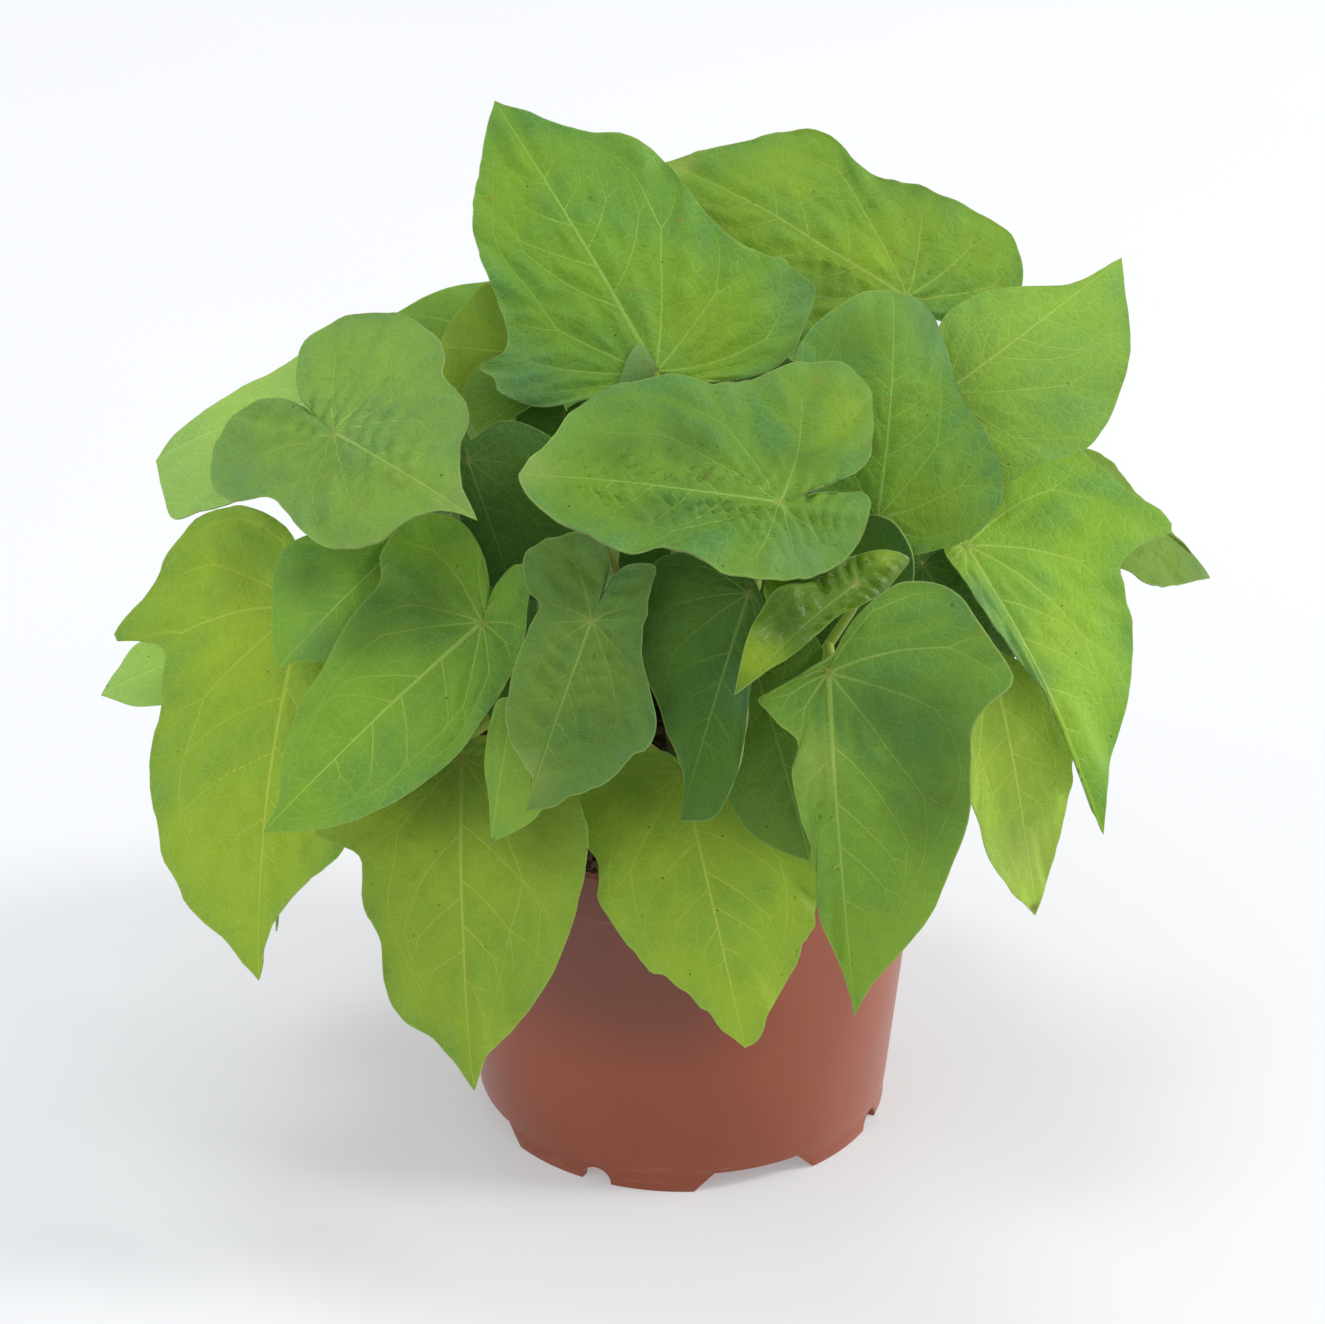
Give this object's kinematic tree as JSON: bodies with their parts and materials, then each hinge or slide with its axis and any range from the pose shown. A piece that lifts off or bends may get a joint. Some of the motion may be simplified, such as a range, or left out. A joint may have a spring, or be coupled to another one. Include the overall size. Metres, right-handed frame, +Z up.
{
  "type": "potted sweet potato vine",
  "caption": "Leafy trailing vine with heart-shaped green leaves on slender stalks, growing from dark soil in a tapered round nursery pot.",
  "frame": {"origin": "centre of the pot's foot on the ground, under the middle of the plant", "axes": "+Z up, the plant's showiest side faces -Y, +X to the right of someone looking at that side"},
  "size_m": [0.3365, 0.2736, 0.3093],
  "materials": {
    "pot": "satin moulded brown-red plastic",
    "soil": "dark crumbly potting soil",
    "stem": "smooth green stem, brownish low down",
    "leaf_yellow": "satin yellow-green leaf with pale veins",
    "leaf_bright": "satin bright green leaf with pale veins",
    "leaf_mid": "satin green leaf with pale veins",
    "leaf_dark": "satin dark green leaf with pale veins"
  },
  "bodies": {
    "root": {"pot": "pot", "soil": "soil", "stem_front": "stem", "stem_front_left": "stem", "stem_front_right": "stem", "stem_centre": "stem", "stem_right": "stem", "stem_left": "stem", "stem_back": "stem", "leaf_crown_left": "leaf_mid", "leaf_crown_right": "leaf_bright", "leaf_right_upper": "leaf_bright", "leaf_centre_right": "leaf_mid", "leaf_centre": "leaf_mid", "leaf_left_round": "leaf_bright", "leaf_far_left": "leaf_bright", "leaf_left_hanging": "leaf_yellow", "leaf_left_mid": "leaf_mid", "leaf_left_centre": "leaf_bright", "leaf_centre_small": "leaf_mid", "leaf_centre_dark": "leaf_dark", "leaf_front_right": "leaf_bright", "leaf_front_left_drop": "leaf_yellow", "leaf_front_centre_drop": "leaf_yellow", "leaf_right_hanging": "leaf_bright", "leaf_far_right": "leaf_bright", "leaf_right_low": "leaf_yellow", "leaf_left_low_small": "leaf_bright", "leaf_small_left": "leaf_bright", "leaf_behind_dark": "leaf_mid", "leaf_young_curled": "leaf_yellow", "leaf_inner_left": "leaf_dark", "leaf_inner_top": "leaf_bright", "leaf_left_bright": "leaf_yellow", "leaf_left_back": "leaf_bright", "leaf_right_inner": "leaf_dark", "leaf_young_bud": "leaf_yellow", "leaf_inner_right": "leaf_dark", "leaf_inner_centre": "leaf_dark", "leaf_inner_low_left": "leaf_dark", "leaf_inner_up_left": "leaf_dark", "leaf_right_side": "leaf_yellow", "leaf_right_mid_back": "leaf_bright", "leaf_right_top_back": "leaf_mid", "leaf_right_low_back": "leaf_yellow", "leaf_back_low_1": "leaf_yellow", "leaf_back_low_2": "leaf_bright", "leaf_back_low_3": "leaf_yellow", "leaf_back_low_4": "leaf_bright", "leaf_left_low_back": "leaf_yellow", "leaf_left_side": "leaf_bright", "leaf_back_mid_1": "leaf_bright", "leaf_back_mid_2": "leaf_mid", "leaf_back_mid_3": "leaf_bright", "leaf_back_mid_4": "leaf_mid", "leaf_left_mid_back": "leaf_bright", "leaf_left_top_back": "leaf_mid", "leaf_back_top_1": "leaf_mid", "leaf_back_top_2": "leaf_mid", "leaf_back_top_3": "leaf_bright"}
  },
  "joints": []
}
